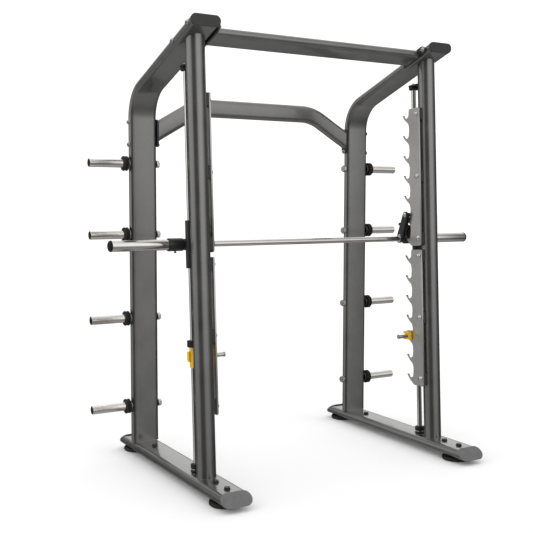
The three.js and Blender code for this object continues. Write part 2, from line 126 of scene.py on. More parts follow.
def circle(radius, z=0.0, count=48):
    turn = 2 * math.pi / count
    return [Vector((radius * math.cos(turn * i), radius * math.sin(turn * i), z)) for i in range(count)]


def hexagon(across, z=0.0, per_side=4):
    """A hexagon by its width across flats, with points along its sides so that it lofts with a circle."""
    corner = across / math.sqrt(3)
    corners = [Vector((corner * math.cos(math.radians(60 * i)), corner * math.sin(math.radians(60 * i)), z))
               for i in range(6)]
    return [corners[i].lerp(corners[(i + 1) % 6], j / per_side) for i in range(6) for j in range(per_side)]


def flat_oval(width, thick, steps=14):
    """Section of a flat-oval tube, its long axis along x."""
    radius = thick / 2
    run = width / 2 - radius
    points = []
    for side in (1, -1):
        for i in range(steps + 1):
            angle = math.pi * i / steps - math.pi / 2
            x = run + radius * math.cos(angle)
            points.append(Vector((side * x, side * radius * math.sin(angle), 0)))
    return points


def arc(centre, radius, start, end, steps):
    """Points of an arc in a plane, by its angles in degrees."""
    angles = [math.radians(start + (end - start) * i / steps) for i in range(steps + 1)]
    return [(centre[0] + radius * math.cos(a), centre[1] + radius * math.sin(a)) for a in angles]


def bezier(a, b, c, steps=8):
    """Points of a quadratic curve from a to c, pulled towards b, without its first point."""
    out = []
    for i in range(1, steps + 1):
        t = i / steps
        out.append(tuple((1 - t) ** 2 * p + 2 * t * (1 - t) * q + t * t * r for p, q, r in zip(a, b, c)))
    return out


def turned(profile, count=48):
    """Turns [radius, height] points about z. The profile starts and ends on the axis."""
    return loft([circle(max(radius, 0.01), z, count) for radius, z in profile])


def ring(outer, bore, low, high, round_off=1.0, count=48):
    """A ring about z with rounded outer edges."""
    soft = [(outer - round_off * (1 - math.sin(math.radians(a))), round_off * (1 - math.cos(math.radians(a))))
            for a in (0, 30, 60, 90)]
    profile = [(bore, low)] + [(r, low + d) for r, d in soft]
    profile += [(r, high - d) for r, d in reversed(soft)] + [(bore, high)]
    return loft([circle(radius, z, count) for radius, z in profile], closed=True)


def plate(outline, x0, x1):
    """A plate across x from an outline of (y, z) points."""
    return loft([[Vector((x, y, z)) for y, z in outline] for x in (x0, x1)])


def slab(outline, z0, z1):
    """A plate across z from an outline of (x, y) points."""
    return loft([[Vector((x, y, z)) for x, y in outline] for z in (z0, z1)])


def box(x0, x1, y0, y1, z0, z1):
    return slab([(x0, y0), (x1, y0), (x1, y1), (x0, y1)], z0, z1)


def quarter_oval(radius, height, last, step):
    """(radius, height) points of a dome's outline, from its rim up to an angle in degrees."""
    angles = [math.radians(a) for a in range(0, last + 1, step)]
    return [(radius * math.cos(a), height * math.sin(a)) for a in angles]


ALONG_X = Matrix.Rotation(math.pi / 2, 4, "Y")
INWARDS = Matrix.Rotation(-math.pi / 2, 4, "Y")


def button_head(radius, height, socket):
    """A domed screw head standing on z = 0, with a hexagon socket."""
    dome = quarter_oval(radius, height, 55, 11)
    rings = [circle(radius, -0.6, 24)] + [circle(r, z + 0.8, 24) for r, z in dome]
    top = dome[-1][1] + 0.9
    rings += [hexagon(socket, top), hexagon(socket - 0.3, top - height * 0.55)]
    return loft(rings)


def hex_head(across, height):
    """A chamfered hexagon head standing on z = 0."""
    top = [circle(across * 0.47, height, 24), circle(across * 0.44, height, 24)]
    return loft([hexagon(across, 0), hexagon(across, height * 0.86), *top])


def washer(radius, thick):
    soft = [(radius - 0.6, 0), (radius, 0.5), (radius, thick - 0.5), (radius - 0.6, thick)]
    return turned([(0, 0), *soft, (0, thick)], 32)


# ---------------------------------------------------------------- pieces

def soften(piece, width, steps, limit):
    """Rounds a piece's edges that are sharper than limit, in degrees, by a width in millimetres."""
    edge = piece.modifiers.new("soft_edges", "BEVEL")
    edge.width = width * MM
    edge.segments = steps
    edge.limit_method = "ANGLE"
    edge.angle_limit = math.radians(limit)
    edge.harden_normals = True


def build(name, shape, material, place=Matrix(), soft=0.0, steps=2, limit=40):
    """A mesh object from a shape. soft is the width of its rounded edges, in millimetres."""
    points, faces = moved(shape, place)
    mesh = bpy.data.meshes.new(name)
    mesh.from_pydata([p * MM for p in points], [], faces)
    work = bmesh.new()
    work.from_mesh(mesh)
    bmesh.ops.recalc_face_normals(work, faces=work.faces)
    work.to_mesh(mesh)
    work.free()
    mesh.polygons.foreach_set("use_smooth", [True] * len(mesh.polygons))
    mesh.materials.append(material)
    piece = bpy.data.objects.new(name, mesh)
    bpy.context.scene.collection.objects.link(piece)
    if soft:
        soften(piece, soft, steps, limit)
    else:
        mesh.set_sharp_from_angle(angle=math.radians(limit))
    return piece


def joined(name, shapes, material, place=Matrix(), soft=0.0, steps=2, limit=40):
    """One body out of overlapping closed shapes."""
    whole = build(name, shapes[0], material, place)
    for shape in shapes[1:]:
        other = build("tool", shape, material, place)
        cut_in = whole.modifiers.new("join", "BOOLEAN")
        cut_in.operation = "UNION"
        cut_in.solver = "EXACT"
        cut_in.object = other
        settle(whole)
        bpy.data.objects.remove(other)
    whole.data.set_sharp_from_angle(angle=math.radians(limit))
    if soft:
        soften(whole, soft, steps, limit)
    return whole


def settle(piece):
    """Applies a piece's modifiers to its mesh."""
    graph = bpy.context.evaluated_depsgraph_get()
    mesh = bpy.data.meshes.new_from_object(piece.evaluated_get(graph), depsgraph=graph)
    piece.modifiers.clear()
    piece.data = mesh


def stands_for(piece, node):
    """The piece takes the place of a CAD node and rides on its body."""
    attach(piece, BODY_OF[node])
    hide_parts(node)
    return piece


def detail(piece, body):
    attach(piece, body)
    return piece


# ---------------------------------------------------------------- materials

POWDER_GRAIN = 1100.0
MOULD_GRAIN = 1400.0


def shader(name):
    material = bpy.data.materials.new(name)
    material.use_nodes = True
    nodes = material.node_tree.nodes
    surface = next(node for node in nodes if node.type == "BSDF_PRINCIPLED")
    return material, material.node_tree, surface


def noise(tree, scale, detail_level=2.0, stretch=(1, 1, 1), rough=0.5):
    """A noise value over the piece, its features scale per metre, drawn out along an axis by stretch."""
    place = tree.nodes.new("ShaderNodeTexCoord")
    mapping = tree.nodes.new("ShaderNodeMapping")
    mapping.inputs["Scale"].default_value = stretch
    texture = tree.nodes.new("ShaderNodeTexNoise")
    texture.inputs["Scale"].default_value = scale
    texture.inputs["Detail"].default_value = detail_level
    texture.inputs["Roughness"].default_value = rough
    tree.links.new(place.outputs["Object"], mapping.inputs["Vector"])
    tree.links.new(mapping.outputs["Vector"], texture.inputs["Vector"])
    return texture.outputs["Fac"]


def spread(tree, value, low, high, start=0.0, end=1.0):
    """Maps a value between start and end to low and high."""
    node = tree.nodes.new("ShaderNodeMapRange")
    node.inputs["From Min"].default_value = start
    node.inputs["From Max"].default_value = end
    node.inputs["To Min"].default_value = low
    node.inputs["To Max"].default_value = high
    tree.links.new(value, node.inputs["Value"])
    return node.outputs["Result"]


def mixed(tree, factor, first, second):
    node = tree.nodes.new("ShaderNodeMix")
    node.data_type = "RGBA"
    node.inputs[6].default_value = (*first, 1)
    node.inputs[7].default_value = (*second, 1)
    tree.links.new(factor, node.inputs["Factor"])
    return node.outputs[2]


def bumped(tree, surface, layers):
    """Bump from (height value, depth in metres) layers."""
    normal = None
    for height, depth in layers:
        node = tree.nodes.new("ShaderNodeBump")
        node.inputs["Distance"].default_value = depth
        node.inputs["Strength"].default_value = 1.0
        tree.links.new(height, node.inputs["Height"])
        if normal is not None:
            tree.links.new(normal, node.inputs["Normal"])
        normal = node.outputs["Normal"]
    tree.links.new(normal, surface.inputs["Normal"])


def worn_edges(tree, radius):
    """1 along edges, 0 on faces, from how far a rounded normal turns away from the true one."""
    rounded = tree.nodes.new("ShaderNodeBevel")
    rounded.samples = 4
    rounded.inputs["Radius"].default_value = radius
    true = tree.nodes.new("ShaderNodeNewGeometry")
    dot = tree.nodes.new("ShaderNodeVectorMath")
    dot.operation = "DOT_PRODUCT"
    tree.links.new(rounded.outputs["Normal"], dot.inputs[0])
    tree.links.new(true.outputs["Normal"], dot.inputs[1])
    return spread(tree, dot.outputs["Value"], 1.0, 0.0, 0.86, 0.985)


def scaled(colour, factor, lift=0.0):
    return tuple(min(1.0, c * factor + lift) for c in colour)


def tinted(tree, factor, first, second):
    """Mixes a colour socket towards a fixed colour."""
    node = tree.nodes.new("ShaderNodeMix")
    node.data_type = "RGBA"
    tree.links.new(first, node.inputs[6])
    node.inputs[7].default_value = (*second, 1)
    tree.links.new(factor, node.inputs["Factor"])
    return node.outputs[2]


def powder_coat(name, colour, gloss, flake=0.0, lacquer=0.0):
    """Baked powder: fine grain over a soft orange peel, faint handling marks and lighter, polished edges.
    flake is how much metal flake is in it, and lacquer how much clear coat is over it."""
    material, tree, surface = shader(name)
    fine = noise(tree, POWDER_GRAIN, 3)
    peel = noise(tree, POWDER_GRAIN / 6, 2)
    marks = noise(tree, 7, 4, rough=0.6)
    body = mixed(tree, spread(tree, marks, 0, 1, 0.35, 0.65), scaled(colour, 0.92), scaled(colour, 1.09))
    speckled = tinted(tree, spread(tree, fine, 0.0, 0.35, 0.62, 0.8), body, scaled(colour, 1.6))
    edged = tinted(tree, spread(tree, worn_edges(tree, 0.0012), 0, 0.5), speckled, scaled(colour, 1.7))
    tree.links.new(edged, surface.inputs["Base Color"])
    tree.links.new(spread(tree, marks, gloss - 0.04, gloss + 0.05, 0.3, 0.7), surface.inputs["Roughness"])
    surface.inputs["Metallic"].default_value = flake
    surface.inputs["Coat Weight"].default_value = lacquer
    surface.inputs["Coat Roughness"].default_value = 0.09
    bumped(tree, surface, [(peel, 0.00005), (fine, 0.00003)])
    return material


def plated(name, colour, gloss, streak, streak_depth, uneven=0.05, stretch=(1, 1, 1)):
    """Bright or satin metal with fine turning marks, drawn out along the axis where stretch is small."""
    material, tree, surface = shader(name)
    lines = noise(tree, streak, 3, stretch)
    clouds = noise(tree, 14, 4, rough=0.6)
    body = mixed(tree, spread(tree, clouds, 0, 1, 0.3, 0.7), scaled(colour, 0.94), scaled(colour, 1.05))
    edged = tinted(tree, spread(tree, worn_edges(tree, 0.0010), 0, 0.35), body, scaled(colour, 1.35))
    tree.links.new(edged, surface.inputs["Base Color"])
    rough = spread(tree, lines, gloss - uneven, gloss + uneven, 0.25, 0.75)
    tree.links.new(rough, surface.inputs["Roughness"])
    surface.inputs["Metallic"].default_value = 1.0
    bumped(tree, surface, [(lines, streak_depth)])
    return material


def moulded(name, colour, gloss, specular=0.5):
    """Moulded rubber or plastic with a fine matt grain and a little dust."""
    material, tree, surface = shader(name)
    fine = noise(tree, MOULD_GRAIN, 2)
    dust = noise(tree, 30, 5, rough=0.7)
    body = mixed(tree, spread(tree, dust, 0, 0.6, 0.4, 0.75), colour, scaled(colour, 1.5, 0.004))
    tree.links.new(body, surface.inputs["Base Color"])
    tree.links.new(spread(tree, dust, gloss - 0.06, gloss + 0.08, 0.3, 0.7), surface.inputs["Roughness"])
    surface.inputs["Specular IOR Level"].default_value = specular
    bumped(tree, surface, [(fine, 0.00008)])
    return material


POWDER = powder_coat("powder_coat", (0.215, 0.212, 0.208), gloss=0.33, flake=0.9, lacquer=1.0)
BLACK = powder_coat("black_steel", (0.016, 0.016, 0.016), gloss=0.36)
YELLOW = powder_coat("safety_yellow", (0.76, 0.46, 0.014), gloss=0.38)
CAP = moulded("end_cap", (0.024, 0.024, 0.024), 0.42)
# The base caps' plastic is the arm caps' black made lighter: painted light, for the light that catches their
# upward-tilted faces.
BASE_CAP_PAINTED_LIGHT = moulded("base_end_cap_painted_light", (0.118, 0.118, 0.117), 0.44)
RUBBER = moulded("rubber", (0.010, 0.010, 0.010), 0.58, specular=0.4)
CHROME = plated("chrome", (0.74, 0.715, 0.69), 0.12, 90, 0.000004, 0.03)
RACK_STEEL = plated("rack_steel", (0.62, 0.61, 0.595), 0.40, 1500, 0.00003)
PEG_STEEL = plated("peg_steel", (0.90, 0.865, 0.825), 0.22, 900, 0.000004, 0.02, (0.05, 1, 1))
MACHINED = plated("machined_steel", (0.60, 0.59, 0.58), 0.24, 1200, 0.00001)
CAST = plated("cast_grey", (0.30, 0.295, 0.29), 0.42, 700, 0.00003, 0.06)
ZINC = plated("zinc", (0.92, 0.92, 0.93), 0.17, 500, 0.00002)
PLUG = moulded("plug", (0.009, 0.009, 0.009), 0.60, specular=0.2)
NUT = plated("dull_zinc", (0.60, 0.595, 0.59), 0.24, 500, 0.00002)
MATERIALS = {
    "powder_coat": POWDER,
    "black_steel": BLACK,
    "safety_yellow": YELLOW,
    "end_cap": CAP,
    "foot_rubber": RUBBER,
    "bumper_rubber": RUBBER,
    "chrome": CHROME,
    "rack_steel": RACK_STEEL,
    "peg_steel": PEG_STEEL,
    "machined_steel": MACHINED,
}


def finished(node, shape, place=Matrix(), soft=0.0, steps=2, limit=40):
    """The finished piece of a CAD node, in that node's own material."""
    material = MATERIALS[SLOT_OF[node]]
    return stands_for(build(node + "_finished", shape, material, place, soft, steps, limit), node)


def finished_join(node, shapes, place=Matrix(), soft=0.0, steps=2):
    material = MATERIALS[SLOT_OF[node]]
    return stands_for(joined(node + "_finished", shapes, material, place, soft, steps), node)


# ---------------------------------------------------------------- side frames

BASE_WIDE = 146
BASE_THICK = 47
TUBE_WIDE = 146
TUBE_THICK = 46
BASE_CAP_WIDE = 152
BASE_CAP_TALL = 76  # along its own slope
BASE_MITRE = math.radians(45)
ARM_CAP_LIP = 1
CAP_THICK = 6
GAP = 0.3
BASE_HALF = 573
BASE_MIDDLE_Z = 25.5 + BASE_THICK / 2
BASE_TOP = 25.5 + BASE_THICK
BASE_BOLTS_Y = (-491, -384, 289)
REAR_Y = middle("plate_peg_right_1").y
KNEE_Z = 1853
ARM_RISE = math.radians(19.37)
ARM_LONG = 761
ARM_END_TILT = math.radians(5)
BEND_RADIUS = 170
UPRIGHT_RADIUS = 44.5


def side_frame(sign):
    return shift(sign * SIDE_X)


def mitred(section, sign, half):
    """A ring at one end of the base, on its mitred plane."""
    slope = math.tan(BASE_MITRE)
    return [Vector((p.x, sign * (half - slope * p.y), BASE_MIDDLE_Z + p.y)) for p in section]


def base(tag, sign):
    place = side_frame(sign)
    section = flat_oval(BASE_WIDE, BASE_THICK)
    rail = loft([mitred(section, way, BASE_HALF) for way in (1, -1)])
    finished(f"base_rail_{tag}", rail, place, 0.8)
    outline = flat_oval(BASE_CAP_WIDE, BASE_CAP_TALL, 20)
    for end, way in (("front", -1), ("rear", 1)):
        node = f"base_{end}_cap_{tag}"
        rings = [[p + Vector((0, 0, d)) for p in outline] for d in (GAP, GAP + CAP_THICK)]
        tilt = Matrix.Rotation(-way * (math.pi / 2 - BASE_MITRE), 4, "X")
        at_end = place @ shift(0, way * BASE_HALF, BASE_MIDDLE_Z) @ tilt
        # The caps take the lighter plastic: painted light on their upward-tilted faces.
        stands_for(build(node + "_finished", loft(rings), BASE_CAP_PAINTED_LIGHT, at_end, 2.6, 4), node)
        low, high = extent(f"{end}_foot_{tag}")
        pad = [(0, 0), (64, 0), (68, 1.5), (71, 5), (71, 14), (69, 18), (60, 21.8), (30, 22.6), (24, 23)]
        foot = turned([*pad, (24, high.z), (0, high.z)], 64)
        centre = (low + high) / 2
        finished(f"{end}_foot_{tag}", foot, shift(centre.x, centre.y))


def bend(corner, before, after, radius, steps):
    """Points and directions of an arc that turns one straight run into another."""
    turn = before.angle(after)
    axis = before.cross(after).normalized()
    start = corner - before * radius * math.tan(turn / 2)
    inward = axis.cross(before)
    centre = start + inward * radius
    out = []
    for i in range(steps + 1):
        spin = Matrix.Rotation(turn * i / steps, 3, axis)
        out.append((centre - spin @ inward * radius, spin @ before))
    return out


def swept(section, stations, wide_axis):
    """Sweeps a section, its x along wide_axis, through (point, direction) stations."""
    rings = []
    for point, along in stations:
        thick_axis = along.cross(wide_axis).normalized()
        wide = thick_axis.cross(along).normalized()
        rings.append([point + wide * p.x + thick_axis * p.y for p in section])
    return rings


def onto_plane(ring_points, direction, point, normal):
    """Slides a ring's points along a direction to a plane."""
    return [p + direction * ((point - p).dot(normal) / direction.dot(normal)) for p in ring_points]


def rear_upright(tag, sign):
    place = side_frame(sign)
    up = Vector((0, 0, 1))
    forward = Vector((0, -math.cos(ARM_RISE), math.sin(ARM_RISE)))
    knee = Vector((0, REAR_Y, KNEE_Z))
    end = knee + forward * ARM_LONG
    foot = Vector((0, REAR_Y, BASE_TOP + GAP))
    stations = [(foot, up), *bend(knee, up, forward, BEND_RADIUS, 20), (end, forward)]
    rings = swept(flat_oval(TUBE_WIDE, TUBE_THICK), stations, Vector((1, 0, 0)))
    face = Vector((0, -math.cos(ARM_END_TILT), -math.sin(ARM_END_TILT)))
    rings[-1] = onto_plane(rings[-1], forward, end, face)
    finished(f"rear_upright_{tag}", loft(rings), place, 0.6)
    slope = math.tan(ARM_END_TILT)
    lip = flat_oval(TUBE_WIDE + 2 * ARM_CAP_LIP, TUBE_THICK / math.cos(ARM_RISE) + 2 * ARM_CAP_LIP)
    rings = [[end + Vector((p.x, -d - slope * p.y, p.y)) for p in lip] for d in (GAP, GAP + CAP_THICK)]
    finished(f"arm_cap_{tag}", loft(rings), place, 2.0, 4)


def painted_foot_highlights(tag, sign):
    """Thin bright rings round the feet of both uprights, where they stand on the base: a painted highlight, the
    lit edge at each foot drawn as a ring of lighter metal.
    """
    highlight_profile = ((-1, 0.1), (1.4, 0.1), (1.0, 1.6), (-1, 2.4))
    tube = [[p + Vector((0, 0, z)) for p in flat_oval(TUBE_WIDE + 2 * grow, TUBE_THICK + 2 * grow, 24)]
            for grow, z in highlight_profile]
    pipe = [circle(UPRIGHT_RADIUS + grow, z, 72) for grow, z in highlight_profile]
    feet = ((tube, REAR_Y), (pipe, UPRIGHT_Y + BASE_TOP * math.sin(LEAN)))
    highlight_rings = [moved(loft(rings, closed=True), shift(y=y, z=BASE_TOP)) for rings, y in feet]
    # The rings in lighter cast grey are a painted highlight along the foot of each upright.
    detail(build(f"foot_painted_highlights_{tag}", merged(*highlight_rings), CAST, side_frame(sign)), "frame")


def front_upright(tag, sign):
    place = side_frame(sign) @ LEANING
    foot = (BASE_TOP + GAP) / math.cos(LEAN)
    foot_slope = math.tan(LEAN)
    under = KNEE_Z - (TUBE_THICK / 2 + GAP) / math.cos(ARM_RISE)
    rise = math.tan(ARM_RISE)
    top = (under - rise * (UPRIGHT_Y - REAR_Y)) / (math.cos(LEAN) + rise * math.sin(LEAN))
    top_slope = math.tan(LEAN - ARM_RISE)
    section = circle(UPRIGHT_RADIUS, 0, 72)
    ends = ((foot, foot_slope), (top, top_slope))
    rings = [[Vector((p.x, p.y, z + slope * p.y)) for p in section] for z, slope in ends]
    finished(f"front_upright_{tag}", loft(rings), place, 0.6)


# ---------------------------------------------------------------- racks

RACK_FRONT = -11
RACK_REAR = 68
HOOK_REACH = 119.5
HOOK_PITCH = 106
HOOKS = 7
TOP_TIP_DOWN = 30
SLOT_Y = 89.5
SLOT_RADIUS = 19.5
RACK_BOLTS_DOWN = (33, 358, 681)
RACK_BOLTS_Y = 10
STANDOFF_FRONT = -15
STANDOFF_REAR = 30
STANDOFF_TALL = 62


def rack_outline(bottom, top):
    """(y, z) outline of a rack: a straight front edge, and hooks with S-shaped backs along the rear edge."""
    points = [(RACK_FRONT, bottom + 8), (RACK_FRONT + 8, bottom)]
    first_tip = top - TOP_TIP_DOWN - (HOOKS - 1) * HOOK_PITCH
    for hook in range(HOOKS):
        tip = first_tip + hook * HOOK_PITCH
        start = (RACK_REAR, tip - 72) if hook else (RACK_REAR - 8, bottom)
        belly = (RACK_REAR + 11, tip - 43)
        points.append(start)
        points += bezier(start, (RACK_REAR + 1, tip - 53), belly)
        points += bezier(belly, (HOOK_REACH - 13.5, tip - 24), (HOOK_REACH, tip - 1), 9)
        points.append((HOOK_REACH - 2.5, tip))
        points += arc((SLOT_Y, tip + 2.5), SLOT_RADIUS, -8, -172, 16)
        points += bezier(points[-1], (SLOT_Y - SLOT_RADIUS, tip + 14), (RACK_REAR, tip + 20), 6)
    points += [(RACK_REAR, top - 4), (RACK_REAR - 4, top), (RACK_FRONT + 5, top), (RACK_FRONT, top - 5)]
    return points


def racks(tag, sign):
    place = side_frame(sign) @ LEANING
    head = moved(merged(washer(14, 1.2), moved(button_head(13.2, 9, 7), shift(z=1.2))), INWARDS)
    bolts = []
    blocks = []
    for level in ("upper", "lower"):
        node = f"{level}_rack_{tag}"
        low, high = extent(node, place.inverted())
        shape = plate(rack_outline(low.z, high.z), low.x, high.x)
        finished(node, shape, place, 0.9, 2, 50)
        inner = min(abs(low.x), abs(high.x))
        for down in RACK_BOLTS_DOWN:
            z = high.z - down
            bolts.append(mirrored(moved(head, shift(-inner - (high.x - low.x), RACK_BOLTS_Y, z)), sign))
            tall = (z - STANDOFF_TALL / 2, z + STANDOFF_TALL / 2)
            block = box(-inner + 0.2, -UPRIGHT_RADIUS + 12, STANDOFF_FRONT, STANDOFF_REAR, *tall)
            blocks.append(mirrored(block, sign))
    detail(build(f"rack_bolts_{tag}", merged(*bolts), ZINC, place, limit=30), "frame")
    detail(build(f"rack_standoffs_{tag}", merged(*blocks), BLACK, place, 4, 3), "frame")


# ---------------------------------------------------------------- rods, carriages and bar

ROD_RADIUS = 12.5
ROD_BORE = 12.7
BRACKET_NOSE = 27
BAR_Y = 141
BAR_RADIUS = 14
SLEEVE_RADIUS = 25
COLLAR_RADIUS = 30
HOUSING_RADIUS = 22.5
BUSH_RADIUS = 18
BOSS_RADIUS = 27
GUARD_RADIUS = 33
GUARD_THICK = 7
GUARD_NECK = 12
GUARD_RISE = 40
PIN_Y = 89
PIN_RADIUS = 10.5


def rod(radius, low, high, count=48):
    return turned([(0, low), (radius, low), (radius, high), (0, high)], count)


def rod_parts(tag, sign):
    place = side_frame(sign) @ LEANING
    inverse = place.inverted()
    on_rod = place @ shift(y=ROD_Y)
    low, high = extent(f"guide_rod_{tag}", inverse)
    finished(f"guide_rod_{tag}", rod(ROD_RADIUS, low.z, high.z, 40), on_rod)
    for node, outer in ((f"lower_bumper_{tag}", 26), (f"upper_bumper_{tag}", 25)):
        low, high = extent(node, inverse)
        finished(node, ring(outer, ROD_BORE, low.z, high.z, 4), on_rod)
    low, high = extent(f"rod_flange_{tag}", inverse)
    shade_ring_top = low.z + 6.5
    finished(f"rod_flange_{tag}", ring(21, ROD_BORE, shade_ring_top, high.z, 1.5), on_rod)
    # A black ring, wider than the flange, round the foot of the rod: painted shade where the rod's mount meets the
    # base.
    foot = build(f"rod_foot_painted_shade_{tag}", ring(27, ROD_BORE, low.z + 1.4, shade_ring_top, 1.2), BLACK, on_rod)
    detail(foot, "frame")
    low, high = extent(f"rod_bracket_{tag}", inverse)
    nose = arc((0, ROD_Y), BRACKET_NOSE, 0, 180, 18)
    saddle = arc((0, 0), UPRIGHT_RADIUS + GAP, 124, 56, 16)
    finished(f"rod_bracket_{tag}", slab(nose + saddle, low.z, high.z), place, 1.2)
    head = merged(washer(13, 2), moved(hex_head(17, 8), shift(z=2)))
    on_bracket = on_rod @ shift(z=high.z)
    detail(build(f"bracket_bolt_{tag}", head, ZINC, on_bracket, limit=30), "frame")


def across(outer, low, high, y, z):
    """A round bar across x, its edges rounded."""
    edge = 1.2
    wall = [(outer - edge, low), (outer, low + edge), (outer, high - edge), (outer - edge, high)]
    return moved(turned([(0, low), *wall, (0, high)]), shift(y=y, z=z) @ ALONG_X)


def carriage(tag, sign):
    place = side_frame(sign) @ LEANING
    inverse = place.inverted()
    low, high = extent(f"carriage_{tag}", inverse)
    bar_z = (low.z + high.z) / 2
    inner = max(abs(low.x), abs(high.x))
    outer = min(abs(low.x), abs(high.x))
    guard_z = bar_z + GUARD_RISE
    housing = moved(ring(HOUSING_RADIUS, BUSH_RADIUS + GAP, low.z, high.z, 2), shift(y=ROD_Y))
    boss = moved(ring(BOSS_RADIUS, BAR_RADIUS + 0.8, -inner, outer, 2), shift(y=BAR_Y, z=bar_z) @ ALONG_X)
    guard = across(GUARD_RADIUS, -inner, -inner + GUARD_THICK, ROD_Y, guard_z)
    neck = across(GUARD_NECK, -inner + 3, 3 - HOUSING_RADIUS, ROD_Y, guard_z)
    shapes = [housing, *(mirrored(shape, sign) for shape in (boss, guard, neck))]
    finished_join(f"carriage_{tag}", shapes, place)
    low, high = extent(f"linear_bush_{tag}", inverse)
    finished(f"linear_bush_{tag}", ring(BUSH_RADIUS, ROD_BORE, low.z, high.z), place @ shift(y=ROD_Y))
    screws = []
    for rise in (-6, 9):
        head = moved(button_head(3.4, 2.2, 2.5), shift(-inner, ROD_Y + 14, guard_z + rise) @ INWARDS)
        screws.append(mirrored(head, sign))
    detail(build(f"guard_screws_{tag}", merged(*screws), ZINC, place, limit=30), "carriage")


def bar_parts():
    low, high = extent("bar", FROM_LEANING)
    at_bar = LEANING @ shift(y=BAR_Y, z=(low.z + high.z) / 2)
    finished("bar", rod(BAR_RADIUS, low.x, high.x), at_bar @ ALONG_X)
    for tag, sign in SIDES:
        place = at_bar @ side_frame(sign)
        inverse = place.inverted()
        low, high = extent(f"set_collar_{tag}", inverse)
        bore = BAR_RADIUS + GAP
        finished(f"set_collar_{tag}", moved(ring(COLLAR_RADIUS, bore, low.x, high.x, 2), ALONG_X), place)
        screw = turned([(0, 0), (4, 0), (4, 3), (6, 4), (6, 9), (0, 9.5)], 24)
        under = shift(middle(f"set_collar_{tag}", inverse).x, 0, 0.5 - COLLAR_RADIUS)
        screw = moved(screw, under @ Matrix.Rotation(math.pi, 4, "X"))
        detail(build(f"collar_screw_{tag}", screw, CAP, place), "bar")
        low, high = extent(f"plate_sleeve_{tag}", inverse)
        finished(f"plate_sleeve_{tag}", moved(ring(SLEEVE_RADIUS, bore, low.x, high.x, 1.5), ALONG_X), place)
        low, high = extent(f"sleeve_cap_{tag}", inverse)
        long = high.x - low.x
        wide = SLEEVE_RADIUS + 0.9
        crown = [(r, 2 + rise) for r, rise in quarter_oval(wide, long - 2, 80, 10)]
        at_end = shift(min((low.x, high.x), key=abs)) @ (ALONG_X if sign > 0 else INWARDS)
        cap = turned([(0, 0), (wide, 0), *crown, (0, long)])
        stands_for(build(f"sleeve_cap_{tag}_finished", cap, PLUG, place @ at_end), f"sleeve_cap_{tag}")


LEVER_INNER = 88
LEVER_OUTER = 77
PIN_END_RADIUS = 17
HUB_RADIUS = 22
KNOB_ALONG = 0.46  # how far down the lever its spring knob sits


def lever_outline(pin, hub, pin_radius, hub_radius):
    """(y, z) outline of a flat bar with round ends about the pin and the hub."""
    lean = math.degrees(math.atan2(pin[1] - hub[1], pin[0] - hub[0]))
    return arc(pin, pin_radius, lean - 90, lean + 90, 20) + arc(hub, hub_radius, lean + 99, lean + 261, 28)


def hook_lever(tag, sign):
    place = side_frame(sign) @ LEANING
    high = extent(f"hook_lever_{tag}", place.inverted())[1]
    pin = (PIN_Y, high.z - PIN_END_RADIUS)
    hub = (BAR_Y, middle("bar", FROM_LEANING).z)
    outline = lever_outline(pin, hub, PIN_END_RADIUS, HUB_RADIUS)
    flat = mirrored(plate(outline, -LEVER_INNER, -LEVER_OUTER), sign)
    stub = mirrored(across(PIN_RADIUS, -83, -55, *pin), sign)
    finished_join(f"hook_lever_{tag}", [flat, stub], place, 1.0, 3)
    arm = plate(lever_outline((pin[0] - 5, pin[1] - 6), (hub[0] - 12, hub[1] + 14), 16, 26), -74.5, -69.5)
    detail(build(f"inner_arm_{tag}", mirrored(arm, sign), BLACK, place, 1.0), "bar")
    bolt = merged(washer(12.5, 1.6), moved(button_head(10, 6, 6), shift(z=1.6)))
    clamp = merged(washer(6.5, 1.2), moved(button_head(5, 4, 4), shift(z=1.2)))
    from_pin, to_hub = Vector((0, *pin)), Vector((0, *hub))
    along = (to_hub - from_pin).normalized()
    on_face = shift(-LEVER_INNER)
    heads = [moved(bolt, on_face @ shift(0, *pin) @ INWARDS)]
    heads.append(moved(clamp, on_face @ Matrix.Translation(to_hub - along * 19.5) @ INWARDS))
    heads.append(moved(ring(18.5, 14.4, -3.4, -0.2), on_face @ shift(0, *hub) @ ALONG_X))
    bolts = mirrored(merged(*heads), sign)
    detail(build(f"lever_bolts_{tag}", bolts, ZINC, place, limit=30), "bar")
    off_edge = Vector((0, -along.z, along.y))
    edge = from_pin.lerp(to_hub, KNOB_ALONG) + off_edge * (PIN_END_RADIUS + 0.5)
    knob = turned([(0, 0), (5, 0), (5, 4), (8, 6), (8, 11), (6, 13.5), (0, 14)], 32)
    out = off_edge.to_track_quat("Z", "Y").to_matrix().to_4x4()
    knob = moved(knob, shift(-(LEVER_INNER + LEVER_OUTER) / 2) @ Matrix.Translation(edge) @ out)
    detail(build(f"lever_spring_knob_{tag}", mirrored(knob, sign), CAP, place), "bar")


STOP_PIN_RISE = 50.5
STOP_LUG = 28
JAW_WALL = 11


